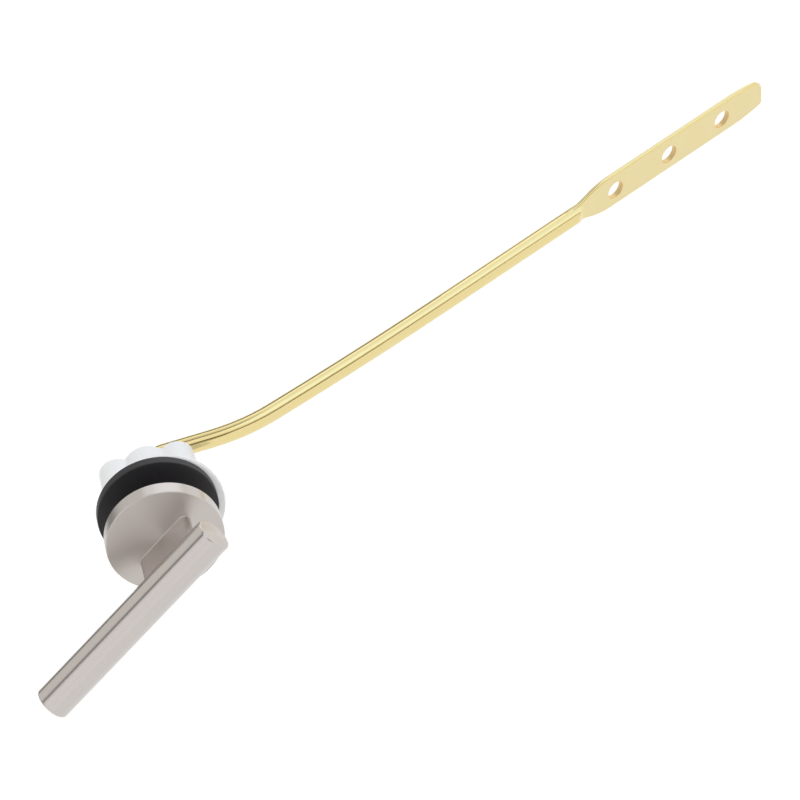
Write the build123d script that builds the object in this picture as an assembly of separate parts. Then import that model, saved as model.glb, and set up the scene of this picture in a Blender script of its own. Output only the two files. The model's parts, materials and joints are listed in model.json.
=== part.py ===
from build123d import *
import os
from math import cos, radians, sin

# Front-mounted cistern lever. Y is the turning axis, +Y runs into the tank and +Z is up.
# The origin lies on the turning axis, on the tank wall's outer face.

# Brass rod and the fits on it
rod_diameter = 6.35
rod_running_clearance = 0.05
rod_end_gap = 0.2

# Handle: round bar on a flat neck, rising from a round hub plate
bar_diameter = 12.6
bar_standoff = 25.8
bar_long_reach = 63.9
bar_short_reach = 20.6
bar_edge_round = 0.6
neck_length = 24.0
neck_thickness = 4.0
neck_foot_round = 0.4
hub_diameter = 40.2
hub_thickness = 5.7
hub_edge_round = 0.35
hub_wall_gap = 0.4
hub_web = 3.5
boss_diameter = 10.0
boss_length = 6.0
socket_depth = 8.4

# Fixed bushing: flange in the hub's recess, square shoulder in the tank hole, threaded shank
flange_diameter = 28.0
flange_side_clearance = 0.4
flange_face_clearance = 0.3
shoulder_width = 14.5
shoulder_length = 5.0
shoulder_corner_round = 1.5
boss_clearance = 0.3
boss_end_clearance = 0.5
thread_diameter = 12.0
thread_depth = 0.4
shank_end = 34.5
shank_chamfer = 0.6

# Stop lug on the flange, and the slot in the hub that turns round it
lever_turn = 40.0
stop_lug_height = 2.4
stop_lug_sweep = 24.0
stop_lug_angle = 90.0
stop_end_clearance = 1.0
stop_side_clearance = 0.4

# Clamp inside the tank
wall_space = 10.2
gasket_diameter = 41.6
gasket_thickness = 3.4
gasket_bore_clearance = 0.35
gasket_edge_round = 0.3
washer_diameter = 43.8
washer_thickness = 1.6
washer_play = 2.2
washer_lean = -90.0
washer_edge_round = 0.5

# Wing nut: hub, two lobes and a bearing flange
nut_length = 23.8
nut_hub_diameter = 15.8
nut_lobe_diameter = 12.4
nut_lobe_offset = 10.6
nut_valley_round = 1.2
nut_rear_round = 0.5
nut_flange_diameter = 27.0
nut_flange_thickness = 2.6
nut_flange_round = 0.6
nut_draft = 1.0
nut_thread_clearance = 0.1

# Arm: spindle, square bend, first run, long bend into the tank, straight run to the blade's tip
arm_droop = 35.5
arm_clearance_behind_nut = 0.45
square_bend_radius = 7.0
first_run = 23.8
long_bend_radius = 54.7
long_bend_angle = 24.6
bow_radius = 1340.0
bow_angle = 3.3
straight_run = 157.6

# Blade pressed on the rod's end
blade_length = 94.8
blade_width = 14.9
blade_thickness = 2.1
blade_set_back = 0.4
blade_twist = 13.0
blade_edge_land = 0.05
press_ramp = 6.4
press_sink = 0.15
flare_step = 0.05
flare_lead = 3.3
flare_length = 21.0
tip_taper_length = 15.0
tip_width = 10.8
tip_upper_round = 5.2
tip_lower_round = 1.6
chain_hole_diameter = 7.2
chain_hole_spacing = 26.8
chain_hole_from_tip = 21.1
chain_holes = 3

# Places along the turning axis
tolerance = 0.001
hub_back = -hub_wall_gap
hub_front = hub_back - hub_thickness
recess_floor = hub_front + hub_web
flange_front = recess_floor + flange_face_clearance
boss_end = recess_floor + boss_length
socket_floor = boss_end - socket_depth
gasket_back = wall_space + gasket_thickness
washer_back = gasket_back + washer_thickness
nut_back = washer_back + nut_length
rod_radius = rod_diameter / 2
run_depth = nut_back + arm_clearance_behind_nut + rod_radius
thread_radius = thread_diameter / 2
nut_bore_radius = thread_radius + nut_thread_clearance

# Places along and across the arm's straight run
press_start = straight_run - blade_length
press_end = press_start + press_ramp
blade_front = blade_set_back - blade_thickness / 2
blade_back = blade_set_back + blade_thickness / 2
blade_edge_round = (blade_thickness - blade_edge_land) / 2


def front_plane(depth):
    """Plane at a depth along the axis as the user sees it: X to the right, Z up."""
    return Plane(origin=(0, depth, 0), x_dir=(1, 0, 0), z_dir=(0, -1, 0))


def turned(points):
    """Solid turned about the axis from an outline of (radius, depth) points."""
    return revolve(make_face(Polyline(*points, close=True)), Axis.Y)


def ring(outer_diameter, bore_diameter, front, back):
    outer = outer_diameter / 2
    bore = bore_diameter / 2
    return turned([(bore, front), (outer, front), (outer, back), (bore, back)])


def ring_sector(inner, outer, start, sweep):
    """Flat segment of a ring in the front view, angles in degrees from +X towards +Z."""
    near = CenterArc((0, 0), inner, start, sweep)
    far = CenterArc((0, 0), outer, start, sweep)
    return make_face(far + near + Line(near @ 0, far @ 0) + Line(near @ 1, far @ 1))


def outer_rims(solid):
    """The circular edges of the largest radius."""
    return solid.edges().filter_by(GeomType.CIRCLE).group_by(SortBy.RADIUS)[-1]


def make_handle():
    hub_radius = hub_diameter / 2
    recess_radius = flange_diameter / 2 + flange_side_clearance
    boss_radius = boss_diameter / 2
    hub = turned([
        (0, hub_front),
        (hub_radius, hub_front),
        (hub_radius, hub_back),
        (recess_radius, hub_back),
        (recess_radius, recess_floor),
        (boss_radius, recess_floor),
        (boss_radius, boss_end),
        (rod_radius, boss_end),
        (rod_radius, socket_floor),
        (0, socket_floor),
    ])
    hub = fillet(outer_rims(hub), hub_edge_round)

    slot_start = stop_lug_angle - stop_lug_sweep / 2 - stop_end_clearance - lever_turn
    slot_sweep = stop_lug_sweep + 2 * stop_end_clearance + lever_turn
    slot_radius = flange_diameter / 2 + stop_lug_height + stop_side_clearance
    slot = ring_sector(flange_diameter / 2, slot_radius, slot_start, slot_sweep)
    hub -= extrude(front_plane(hub_back) * slot, hub_back - recess_floor)

    neck_section = SlotOverall(neck_length, neck_thickness)
    foot = hub + extrude(front_plane(hub_front) * neck_section, bar_standoff + hub_front)
    on_front = foot.edges().filter_by_position(Axis.Y, hub_front - tolerance, hub_front + tolerance)
    foot_edges = on_front.sort_by(SortBy.LENGTH)[:-1]
    foot = fillet(foot_edges, neck_foot_round)

    bar_start = Plane(origin=(-bar_long_reach, -bar_standoff, 0), x_dir=(0, 1, 0), z_dir=(1, 0, 0))
    bar = extrude(bar_start * Circle(bar_diameter / 2), bar_long_reach + bar_short_reach)
    bar = fillet(bar.edges().filter_by(GeomType.CIRCLE), bar_edge_round)
    return foot + bar


def make_bushing():
    flange_radius = flange_diameter / 2
    shank_radius = thread_radius - thread_depth
    bore_radius = rod_radius + rod_running_clearance
    pocket_radius = boss_diameter / 2 + boss_clearance
    pocket_floor = boss_end + boss_end_clearance
    body = turned([
        (0, flange_front),
        (flange_radius, flange_front),
        (flange_radius, 0),
        (shank_radius, 0),
        (shank_radius, shank_end - shank_chamfer),
        (shank_radius - shank_chamfer, shank_end),
        (0, shank_end),
    ])
    shoulder = RectangleRounded(shoulder_width, shoulder_width, shoulder_corner_round)
    body += extrude(front_plane(0) * shoulder, -shoulder_length)
    lug_start = stop_lug_angle - stop_lug_sweep / 2
    lug = ring_sector(pocket_radius, flange_radius + stop_lug_height, lug_start, stop_lug_sweep)
    body += extrude(front_plane(0) * lug, -flange_front)
    body -= ring(2 * bore_radius, 0, flange_front, shank_end)
    body -= ring(2 * pocket_radius, 0, flange_front, pocket_floor)
    return body


def make_gasket():
    bore = thread_diameter + 2 * gasket_bore_clearance
    body = ring(gasket_diameter, bore, wall_space, gasket_back)
    return fillet(outer_rims(body), gasket_edge_round)


def make_washer():
    """Loose washer that leans on the thread by all of its play."""
    bore = thread_diameter + 2 * washer_play
    body = ring(washer_diameter, bore, gasket_back, washer_back)
    body = fillet(outer_rims(body), washer_edge_round)
    lean = radians(washer_lean)
    return Pos(washer_play * cos(lean), 0, washer_play * sin(lean)) * body


def make_nut():
    outline = Circle(nut_hub_diameter / 2)
    for side in (-1, 1):
        outline += Pos(side * nut_lobe_offset, 0) * Circle(nut_lobe_diameter / 2)
    outline = fillet(outline.vertices(), nut_valley_round)
    wings = extrude(front_plane(nut_back) * outline, nut_length, taper=-nut_draft)
    wings = fillet(wings.faces().sort_by(Axis.Y)[-1].outer_wire().edges(), nut_rear_round)
    wings = Rot(0, arm_droop, 0) * wings
    flange = ring(nut_flange_diameter, 0, washer_back, washer_back + nut_flange_thickness)
    flange = fillet(outer_rims(flange), nut_flange_round)
    return wings + flange - ring(2 * nut_bore_radius, 0, washer_back, nut_back)


def press_cut(side, floor):
    """Side view of what the press takes off one side of the rod: x along the rod, y away from the user."""
    beyond = press_end + rod_radius
    ramp = TangentArc((press_end, floor), (press_start, side * rod_radius), tangent=(-1, 0))
    lead = Line(ramp @ 1, ramp @ 1 + (ramp % 1) * rod_radius)
    outside = Polyline(lead @ 1, (beyond, (lead @ 1).Y), (beyond, floor), (press_end, floor))
    return make_face(ramp + lead + outside)


def blade_plan():
    """Plan of the blade: x along the rod, y down, half of the outline mirrored."""
    half_root = rod_radius + flare_step
    half_width = blade_width / 2
    half_tip = tip_width / 2
    flare_start = press_start - flare_lead
    flare_end = flare_start + flare_length
    flare_middle = ((flare_start + flare_end) / 2, (half_root + half_width) / 2)
    taper_start = straight_run - tip_taper_length
    flare_in = TangentArc((flare_start, half_root), flare_middle, tangent=(1, 0))
    flare_out = TangentArc(flare_middle, (flare_end, half_width), tangent=flare_in % 1)
    side = Line((flare_end, half_width), (taper_start, half_width))
    taper = TangentArc((taper_start, half_width), (straight_run, half_tip), tangent=(1, 0))
    half = flare_in + flare_out + side + taper
    ends = Line((flare_start, -half_root), (flare_start, half_root))
    ends += Line((straight_run, -half_tip), (straight_run, half_tip))
    plan = make_face(half + mirror(half, about=Plane.XZ) + ends)
    for corner, corner_round in ((0, tip_upper_round), (-1, tip_lower_round)):
        tip_corners = plan.vertices().group_by(Axis.X)[-1].sort_by(Axis.Y)
        plan = fillet(tip_corners[corner], corner_round)
    for index in range(chain_holes):
        place = straight_run - chain_hole_from_tip - index * chain_hole_spacing
        plan -= Pos(place, 0) * Circle(chain_hole_diameter / 2)
    return plan


def pressed_end():
    """Straight run with the blade: x along the rod, y away from the user, z up."""
    end = extrude(Plane.YZ * Circle(rod_radius), press_end)
    for side, floor in ((-1, blade_front + press_sink), (1, blade_back - press_sink)):
        end -= extrude(press_cut(side, floor), rod_diameter, both=True)
    plan_view = Plane(origin=(0, blade_front, 0), x_dir=(1, 0, 0), z_dir=(0, 1, 0))
    blade = extrude(plan_view * blade_plan(), blade_thickness)
    rims = [rim for face in blade.faces().filter_by(Axis.Y) for rim in face.outer_wire().edges()]
    return end + fillet(rims, blade_edge_round)


def make_arm():
    """Drawn level along X in the XY plane, then turned to its droop."""
    spindle = Line((0, socket_floor + rod_end_gap), (0, run_depth - square_bend_radius))
    square_bend = JernArc(spindle @ 1, spindle % 1, square_bend_radius, -90)
    run = Line(square_bend @ 1, (first_run, run_depth))
    long_bend = JernArc(run @ 1, run % 1, long_bend_radius, long_bend_angle)
    bow = JernArc(long_bend @ 1, long_bend % 1, bow_radius, bow_angle)
    section = Plane(origin=spindle @ 0, z_dir=spindle % 0) * Circle(rod_radius)
    bent_rod = sweep(section, path=spindle + square_bend + run + long_bend + bow)
    bent_rod_end = Plane(origin=bow @ 1, x_dir=bow % 1, z_dir=(0, 0, 1))
    straight = bent_rod_end * (Rot(blade_twist, 0, 0) * pressed_end())
    return Rot(0, arm_droop, 0) * (bent_rod + straight)


nodes = {
    "lever_handle": make_handle(),
    "threaded_bushing": make_bushing(),
    "rubber_gasket": make_gasket(),
    "slip_washer": make_washer(),
    "wing_nut": make_nut(),
    "trip_arm": make_arm(),
}

os.makedirs("parts", exist_ok=True)
for name, solid in nodes.items():
    export_step(solid, f"parts/{name}.step")
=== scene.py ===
import json
from math import cos, pi, sin

import bmesh
import bpy
from mathutils import Matrix, Vector


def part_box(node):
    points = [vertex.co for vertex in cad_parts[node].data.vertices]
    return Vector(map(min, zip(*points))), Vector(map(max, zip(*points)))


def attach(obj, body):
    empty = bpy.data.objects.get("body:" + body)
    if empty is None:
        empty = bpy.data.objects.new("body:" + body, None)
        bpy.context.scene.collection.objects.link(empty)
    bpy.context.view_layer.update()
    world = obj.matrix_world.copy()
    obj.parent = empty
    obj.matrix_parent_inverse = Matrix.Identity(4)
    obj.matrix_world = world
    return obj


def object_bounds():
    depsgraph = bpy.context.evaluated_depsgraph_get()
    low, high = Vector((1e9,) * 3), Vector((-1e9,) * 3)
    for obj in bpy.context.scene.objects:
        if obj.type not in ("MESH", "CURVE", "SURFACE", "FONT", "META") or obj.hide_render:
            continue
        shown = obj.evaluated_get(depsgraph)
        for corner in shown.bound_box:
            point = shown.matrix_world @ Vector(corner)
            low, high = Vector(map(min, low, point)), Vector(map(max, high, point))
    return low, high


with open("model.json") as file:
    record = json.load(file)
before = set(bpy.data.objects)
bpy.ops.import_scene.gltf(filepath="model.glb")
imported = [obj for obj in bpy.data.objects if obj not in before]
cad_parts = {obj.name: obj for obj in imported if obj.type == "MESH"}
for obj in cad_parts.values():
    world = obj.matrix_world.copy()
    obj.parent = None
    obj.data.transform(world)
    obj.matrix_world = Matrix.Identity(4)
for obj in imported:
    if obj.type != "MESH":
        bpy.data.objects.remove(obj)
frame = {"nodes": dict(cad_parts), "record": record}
cad_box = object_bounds()
nodes = frame["nodes"]
scene = bpy.context.scene
handle_low, handle_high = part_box("lever_handle")
chain_holes = [mount for mount in frame["record"]["mounts"] if mount["name"].startswith("chain_hole")]

# Handle, in metres
BAR_RADIUS = 0.0063
BAR_DEPTH = handle_low[1] + BAR_RADIUS
HUB_FRONT = -0.0061
HUB_RADIUS = handle_high[2]
BRUSH_LINES = 1800.0

# Thread of the bushing's shank
SHANK_RADIUS = 0.0056
THREAD_RADIUS = 0.006
THREAD_PITCH = 0.0015
THREAD_START = 0.0052
THREAD_END = 0.0338
THREAD_SINK = 0.00015

# Blade at the arm's end, placed by its chain holes
HOLE_PLACES = [Vector(hole["pos_m"]) for hole in chain_holes]
HOLE_RADIUS = chain_holes[0]["dims"]["r_mm"] / 1000
BLADE_FACING = chain_holes[0]["axis"]
ARM_ALONG = (HOLE_PLACES[0] - HOLE_PLACES[-1]).normalized()
ROD_FINISH_END = 0.2045
BLADE_FINISH_START = 0.2075

# Width over which one finish gives way to the next
BORDER = 0.0001

# Camera, fitted to the photograph
CAMERA_PLACE = (0.469861, -1.002664, 0.587748)
CAMERA_RIGHT = (0.65898, -0.19618, -0.72612)
CAMERA_UP = (0.68536, 0.55434, 0.47222)
CAMERA_FORWARD = (-0.30988, 0.80884, -0.49975)
CAMERA_LENS = 167.713
SENSOR_WIDTH = 36.0

# Studio: a floor, and a light tent whose places are directions from the object
FLOOR_DROP = 0.12
FLOOR_RADIUS = 2.5
FLOOR_COLOUR = (0.9, 0.9, 0.9, 1)
FLOOR_LIFT = 0.26
TENT_LEVEL = 1.06
BACK_WALL_DROP = 0.2
SIDE_LAMP = (0.896, 0.0, 0.444)
BACK_LAMP = (0.52, 0.79, 0.32)
LAMP_LEVEL = 0.45
SEAM_ACROSS = (-0.24, 0.97, 0.06)
GAP_ACROSS = (0.41, 0.584, 0.704)
STAND = (0.3, -0.825, 0.478)


class Graph:
    """A node tree that is built from sockets and plain values."""

    def __init__(self, tree):
        tree.nodes.clear()
        self.tree = tree

    def node(self, kind, inputs=None, **settings):
        made = self.tree.nodes.new(kind)
        for name, value in settings.items():
            setattr(made, name, value)
        for key, value in (inputs or {}).items():
            socket = made.inputs[key]
            if isinstance(value, bpy.types.NodeSocket):
                self.tree.links.new(value, socket)
            else:
                socket.default_value = value
        return made

    def math(self, operation, *values):
        return self.node("ShaderNodeMath", dict(enumerate(values)), operation=operation).outputs[0]

    def times(self, first, *others):
        """Product of all the values."""
        for other in others:
            first = self.math("MULTIPLY", first, other)
        return first

    def most(self, first, *others):
        """Largest of the values."""
        for other in others:
            first = self.math("MAXIMUM", first, other)
        return first

    def less(self, value):
        """What the value leaves of 1."""
        return self.math("SUBTRACT", 1.0, value)

    def distance(self, first, second):
        """Distance from the middle of a plane, from the two parts of a place on it."""
        return self.math("SQRT", self.math("ADD", self.times(first, first), self.times(second, second)))

    def vector(self, operation, *values):
        made = self.node("ShaderNodeVectorMath", dict(enumerate(values)), operation=operation)
        return made.outputs["Value" if operation in ("DOT_PRODUCT", "LENGTH") else "Vector"]

    def step(self, value, low, high):
        """Smooth step from 0 at low to 1 at high."""
        made = self.node(
            "ShaderNodeMapRange",
            {"Value": value, "From Min": low, "From Max": high},
            interpolation_type="SMOOTHSTEP",
        )
        return made.outputs["Result"]

    def spread(self, value, low, high):
        """A noise value of 0 to 1, spread evenly from low to high."""
        made = self.node("ShaderNodeMapRange", {"Value": value, "To Min": low, "To Max": high})
        return made.outputs["Result"]

    def noise(self, vector, scale, detail=2.0, roughness=0.5):
        made = self.node(
            "ShaderNodeTexNoise",
            {"Vector": vector, "Scale": scale, "Detail": detail, "Roughness": roughness},
        )
        return made.outputs[0]

    def mix(self, factor, first, second):
        return self.node("ShaderNodeMix", {0: factor, 2: first, 3: second}).outputs[0]

    def mix_vector(self, factor, first, second):
        made = self.node("ShaderNodeMix", {0: factor, 4: first, 5: second}, data_type="VECTOR")
        return made.outputs[1]

    def mix_colour(self, factor, first, second):
        made = self.node("ShaderNodeMix", {0: factor, 6: first, 7: second}, data_type="RGBA")
        return made.outputs[2]

    def combine(self, x, y, z):
        return self.node("ShaderNodeCombineXYZ", {0: x, 1: y, 2: z}).outputs[0]

    def parts(self, vector):
        return self.node("ShaderNodeSeparateXYZ", {0: vector}).outputs

    def bump(self, height, strength, distance):
        made = self.node("ShaderNodeBump", {"Height": height, "Strength": strength, "Distance": distance})
        return made.outputs["Normal"]

    def place(self):
        """Place on the object, in metres."""
        return self.node("ShaderNodeTexCoord").outputs["Object"]

    def turned(self, vector, kind, before, after):
        made = self.node(
            "ShaderNodeVectorTransform",
            {0: vector},
            vector_type=kind,
            convert_from=before,
            convert_to=after,
        )
        return made.outputs[0]

    def facing(self):
        """Direction that the surface faces, on the object."""
        normal = self.node("ShaderNodeNewGeometry").outputs["Normal"]
        return self.turned(normal, "NORMAL", "WORLD", "OBJECT")


def material(name):
    made = bpy.data.materials.new(name)
    made.use_nodes = True
    return made, Graph(made.node_tree)


def surface(graph, inputs):
    shader = graph.node("ShaderNodeBsdfPrincipled", inputs)
    graph.node("ShaderNodeOutputMaterial", {"Surface": shader.outputs[0]})


def nickel_material():
    """Satin nickel: bar and rim brushed round, hub brushed in circles, neck brushed along itself."""
    made, graph = material("brushed_nickel")
    place = graph.place()
    x, y, z = graph.parts(place)
    up = graph.math("SUBTRACT", y, BAR_DEPTH)
    radius = graph.distance(x, z)
    on_bar = graph.step(graph.distance(up, z), BAR_RADIUS + 2 * BORDER, BAR_RADIUS + BORDER)
    on_neck = graph.step(y, HUB_FRONT - 2 * BORDER, HUB_FRONT - 5 * BORDER)
    on_rim = graph.step(radius, HUB_RADIUS - 2 * BORDER, HUB_RADIUS - BORDER)
    upright = graph.most(on_neck, on_rim)
    on_face = graph.times(graph.less(on_bar), graph.less(upright))

    # Highlights are drawn out across the brushing: along the bar, outwards on the hub,
    # and front to back on neck and rim
    across = graph.mix_vector(upright, graph.combine(x, 0.0, z), graph.combine(0.0, 1.0, 0.0))
    across = graph.mix_vector(on_bar, across, graph.combine(1.0, 0.0, 0.0))
    tangent = graph.vector("NORMALIZE", graph.turned(across, "VECTOR", "OBJECT", "WORLD"))

    turn_on_bar = graph.math("ARCTAN2", z, up)
    turn_on_hub = graph.math("ARCTAN2", z, x)
    bar_lines = graph.combine(graph.times(x, BRUSH_LINES), turn_on_bar, 0.0)
    hub_lines = graph.combine(graph.times(radius, BRUSH_LINES), graph.times(turn_on_hub, 1.5), 0.0)
    neck_lines = graph.combine(graph.times(x, 100.0), graph.times(y, BRUSH_LINES), 0.0)
    lines = graph.mix_vector(on_neck, hub_lines, neck_lines)
    lines = graph.mix_vector(on_bar, lines, bar_lines)
    streaks = graph.noise(lines, 1.0)
    clouds = graph.noise(place, 70.0, 1.0)

    # Bar and rim take the plain nickel colour. Hub face and neck take a copy of it painted lighter:
    # painted light that makes up for the shade the bar and neck throw on the hub face. The face's extra
    # roughness is its own finish.
    turned = graph.mix_colour(streaks, (0.573, 0.53, 0.508, 1), (0.595, 0.552, 0.53, 1))
    face_and_neck_painted_lighter = graph.mix_colour(streaks, (0.625, 0.578, 0.55, 1), (0.65, 0.603, 0.575, 1))
    rough = graph.math("ADD", graph.spread(streaks, 0.19, 0.22), graph.spread(clouds, -0.01, 0.01))
    rough = graph.math("ADD", rough, graph.times(on_face, 0.26))
    surface(graph, {
        "Base Color": graph.mix_colour(graph.most(on_bar, on_rim), face_and_neck_painted_lighter, turned),
        "Metallic": 1.0,
        "Roughness": rough,
        "Anisotropic": 0.9,
        "Tangent": tangent,
        "Normal": graph.bump(streaks, 0.004, 0.00001),
    })
    return made


def brass_material():
    """Bright drawn rod whose end is pressed to a blade with satin faces and smooth rolled edges."""
    made, graph = material("brass")
    place = graph.place()
    along = graph.vector("DOT_PRODUCT", place, ARM_ALONG)
    on_blade = graph.step(along, ROD_FINISH_END, BLADE_FINISH_START)
    flatness = graph.math("ABSOLUTE", graph.vector("DOT_PRODUCT", graph.facing(), BLADE_FACING))
    satin = graph.times(on_blade, graph.step(flatness, 0.985, 0.998))
    walls = []
    for hole in HOLE_PLACES:
        offset = graph.vector("CROSS_PRODUCT", graph.vector("SUBTRACT", place, hole), BLADE_FACING)
        from_axis = graph.vector("LENGTH", offset)
        walls.append(graph.step(from_axis, HOLE_RADIUS + 2 * BORDER, HOLE_RADIUS + BORDER))
    drilled = graph.most(*walls)
    clouds = graph.noise(place, 110.0)
    grain = graph.noise(place, 900.0)

    rod = graph.mix_colour(clouds, (0.80, 0.66, 0.315, 1), (0.83, 0.695, 0.35, 1))
    blade = graph.mix_colour(clouds, (0.785, 0.667, 0.362, 1), (0.82, 0.707, 0.397, 1))
    colour = graph.mix_colour(satin, rod, blade)
    rough = graph.mix(on_blade, graph.spread(clouds, 0.14, 0.17), 0.07)
    rough = graph.mix(satin, rough, graph.spread(grain, 0.27, 0.31))
    surface(graph, {
        "Base Color": graph.mix_colour(drilled, colour, (0.82, 0.6, 0.3, 1)),
        "Metallic": 1.0,
        "Roughness": graph.mix(drilled, rough, 0.42),
        "Normal": graph.bump(grain, 0.01, 0.00001),
    })
    return made


def rubber_material():
    """Black rubber with a fine moulded grain."""
    made, graph = material("black_rubber")
    place = graph.place()
    grain = graph.noise(place, 3200.0, 3.0)
    clouds = graph.noise(place, 160.0)
    surface(graph, {
        "Base Color": graph.mix_colour(clouds, (0.014, 0.0125, 0.0155, 1), (0.018, 0.0162, 0.02, 1)),
        "Roughness": graph.spread(grain, 0.42, 0.52),
        "Specular IOR Level": 0.5,
        "Normal": graph.bump(grain, 0.08, 0.00003),
    })
    return made


def plastic_material(name, darker, lighter, rough, milkiness, reach):
    """White moulded plastic with a faint grain and a slight unevenness."""
    made, graph = material(name)
    place = graph.place()
    clouds = graph.noise(place, 120.0)
    grain = graph.noise(place, 2400.0)
    surface(graph, {
        "Base Color": graph.mix_colour(clouds, darker, lighter),
        "Roughness": graph.spread(grain, *rough),
        "Subsurface Weight": milkiness,
        "Subsurface Radius": (reach, reach, reach),
        "Subsurface Scale": 1.0,
        "Normal": graph.bump(grain, 0.05, 0.00003),
    })
    return made


def plated_material():
    """Zinc plate on the bushing, duller than the handle."""
    made, graph = material("plated_bushing")
    x, y, z = graph.parts(graph.place())
    turn = graph.math("ARCTAN2", z, x)
    lines = graph.combine(graph.times(y, 4000.0), graph.times(turn, 2.0), 0.0)
    streaks = graph.noise(lines, 1.0, 3.0, 0.6)
    surface(graph, {
        "Base Color": graph.mix_colour(streaks, (0.50, 0.49, 0.47, 1), (0.58, 0.57, 0.55, 1)),
        "Metallic": 1.0,
        "Roughness": graph.spread(streaks, 0.28, 0.42),
        "Normal": graph.bump(streaks, 0.08, 0.00002),
    })
    return made


def dress(node, finish):
    slots = nodes[node].data.materials
    if not slots:
        slots.append(finish)
    for index in range(len(slots)):
        slots[index] = finish


nickel = nickel_material()
brass = brass_material()
rubber = rubber_material()
nut_white = plastic_material(
    "white_plastic",
    darker=(0.9, 0.905, 0.915, 1),
    lighter=(0.93, 0.935, 0.945, 1),
    rough=(0.34, 0.42),
    milkiness=0.08,
    reach=0.0001,
)
# The washer is white plastic, but its colour is set lighter than the nut's: painted light that makes up
# for the shade of the gasket and hub in front of it.
washer_white_painted_lighter = plastic_material(
    "white_washer",
    darker=(0.95, 0.953, 0.96, 1),
    lighter=(0.97, 0.973, 0.98, 1),
    rough=(0.42, 0.5),
    milkiness=0.7,
    reach=0.003,
)
plated = plated_material()

dress("lever_handle", nickel)
dress("trip_arm", brass)
dress("rubber_gasket", rubber)
dress("slip_washer", washer_white_painted_lighter)
dress("wing_nut", nut_white)
dress("threaded_bushing", plated)


def thread_ridge():
    """Left-hand ridge that winds along the shank and dies away at both ends."""
    steps_per_turn = 48
    turns = (THREAD_END - THREAD_START) / THREAD_PITCH
    count = int(turns * steps_per_turn)
    root_half = THREAD_PITCH * 0.44
    crest_half = THREAD_PITCH * 0.08
    rise = THREAD_RADIUS - SHANK_RADIUS
    taper_steps = steps_per_turn / 2
    section = [(-root_half, 0), (-crest_half, 1), (crest_half, 1), (root_half, 0)]
    mesh = bmesh.new()
    rows = []
    for index in range(count + 1):
        turn = -2 * pi * index / steps_per_turn
        depth = THREAD_START + THREAD_PITCH * index / steps_per_turn
        grown = min(1, index / taper_steps, (count - index) / taper_steps)
        row = []
        for along, height in section:
            radius = SHANK_RADIUS - THREAD_SINK + (rise + THREAD_SINK) * height * grown
            row.append(mesh.verts.new((radius * cos(turn), depth + along, radius * sin(turn))))
        rows.append(row)
    for first, second in zip(rows, rows[1:]):
        for index in range(len(section)):
            following = (index + 1) % len(section)
            mesh.faces.new((first[index], first[following], second[following], second[index]))
    mesh.faces.new(rows[0])
    mesh.faces.new(list(reversed(rows[-1])))
    bmesh.ops.recalc_face_normals(mesh, faces=mesh.faces)
    data = bpy.data.meshes.new("shank_thread")
    mesh.to_mesh(data)
    mesh.free()
    made = bpy.data.objects.new("shank_thread", data)
    scene.collection.objects.link(made)
    data.materials.append(plated)
    return made


thread = thread_ridge()
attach(thread, "mount")


def floor_material():
    """Pale floor that shows as white, to the eye and in the metal, and keeps shadows."""
    made, graph = material("floor")
    rays = graph.node("ShaderNodeLightPath").outputs
    seen = graph.most(rays["Is Camera Ray"], rays["Is Glossy Ray"], rays["Is Transmission Ray"])
    plain = graph.node("ShaderNodeBsdfDiffuse", {"Color": FLOOR_COLOUR})
    lift = graph.node("ShaderNodeEmission", {"Strength": graph.times(seen, FLOOR_LIFT)})
    both = graph.node("ShaderNodeAddShader", {0: plain.outputs[0], 1: lift.outputs[0]})
    graph.node("ShaderNodeOutputMaterial", {"Surface": both.outputs[0]})
    return made


def make_floor():
    mesh = bmesh.new()
    bmesh.ops.create_circle(mesh, cap_ends=True, segments=128, radius=FLOOR_RADIUS)
    data = bpy.data.meshes.new("floor")
    mesh.to_mesh(data)
    mesh.free()
    data.materials.append(floor_material())
    floor = bpy.data.objects.new("floor", data)
    floor.location.z = cad_box[0][2] - FLOOR_DROP
    scene.collection.objects.link(floor)


make_floor()


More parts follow.
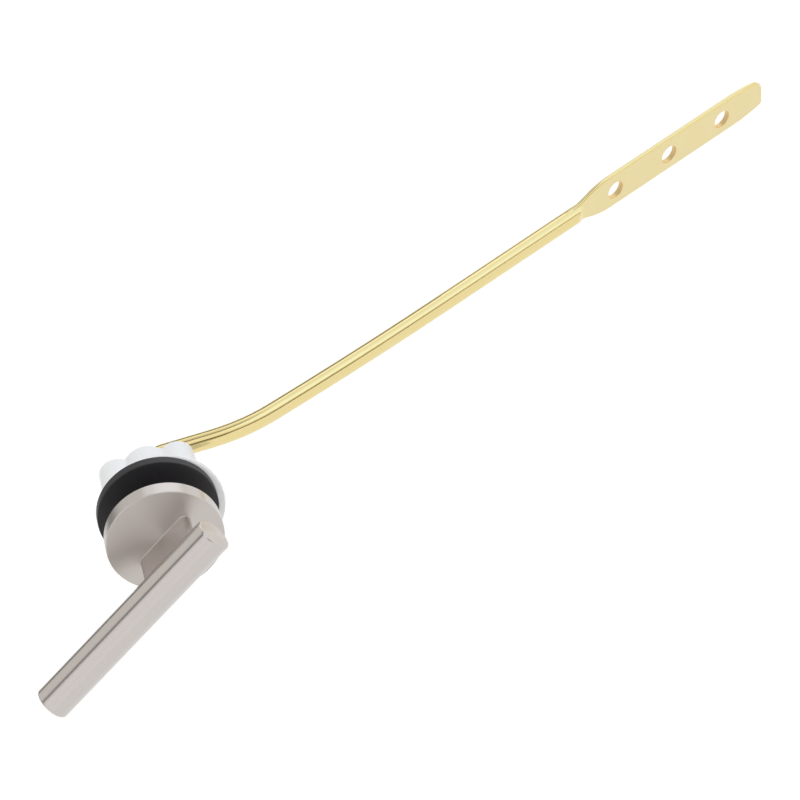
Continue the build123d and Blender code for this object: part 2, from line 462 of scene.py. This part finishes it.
def make_world():
    """Light tent: two lamps, a seam overhead, a slot at the back, a gap and a stand by the camera."""
    world = bpy.data.worlds.new("studio")
    scene.world = world
    world.use_nodes = True
    graph = Graph(world.node_tree)
    direction = graph.node("ShaderNodeTexCoord").outputs["Generated"]
    x, y, z = graph.parts(direction)

    def near(target, low, high):
        return graph.step(graph.vector("DOT_PRODUCT", direction, target), low, high)

    def band(normal, centre, wide, narrow):
        away = graph.math("SUBTRACT", graph.vector("DOT_PRODUCT", direction, normal), centre)
        return graph.step(graph.math("ABSOLUTE", away), wide, narrow)

    wall = graph.step(y, -0.15, 0.0)
    side_lamp = near(SIDE_LAMP, 0.86, 0.97)
    back_lamp = near(BACK_LAMP, 0.88, 0.96)
    stand = near(STAND, 0.955, 0.99)
    seam_reach = graph.times(graph.step(z, 0.3, 0.6), graph.step(x, 0.78, 0.68))
    seam = graph.times(band(SEAM_ACROSS, 0.0, 0.15, 0.06), seam_reach)
    gap = graph.times(band(GAP_ACROSS, 0.04, 0.17, 0.07), graph.step(x, 0.1, 0.35))
    slot_height = graph.times(graph.step(z, 0.44, 0.38), graph.step(z, 0.06, 0.12))
    slot = graph.times(slot_height, graph.step(x, 0.32, 0.24), graph.step(y, 0.5, 0.7))

    level = graph.math("SUBTRACT", TENT_LEVEL, graph.times(wall, BACK_WALL_DROP))
    for lamp in (side_lamp, back_lamp):
        level = graph.math("ADD", level, graph.times(lamp, LAMP_LEVEL))
    for dark, depth in ((seam, 0.8), (gap, 0.75), (slot, 0.75), (stand, 0.55)):
        level = graph.times(level, graph.less(graph.times(dark, depth)))
    tint = graph.mix_colour(wall, (1, 1, 1, 1), (1, 0.995, 0.955, 1))
    tint = graph.mix_colour(back_lamp, tint, (0.97, 0.985, 1, 1))
    tint = graph.mix_colour(side_lamp, tint, (0.8, 0.89, 1, 1))
    tint = graph.mix_colour(graph.most(gap, stand), tint, (1, 0.93, 0.68, 1))
    light = graph.node("ShaderNodeBackground", {"Color": tint, "Strength": level})
    graph.node("ShaderNodeOutputWorld", {"Surface": light.outputs[0]})


make_world()


def make_camera():
    data = bpy.data.cameras.new("camera")
    data.sensor_fit = "HORIZONTAL"
    data.sensor_width = SENSOR_WIDTH
    data.lens = CAMERA_LENS
    data.clip_start = 0.05
    data.clip_end = 20
    camera = bpy.data.objects.new("camera", data)
    axes = Matrix((CAMERA_RIGHT, CAMERA_UP, -Vector(CAMERA_FORWARD))).transposed()
    camera.matrix_world = Matrix.Translation(CAMERA_PLACE) @ axes.to_4x4()
    scene.collection.objects.link(camera)
    scene.camera = camera


make_camera()
scene.view_settings.view_transform = "Standard"
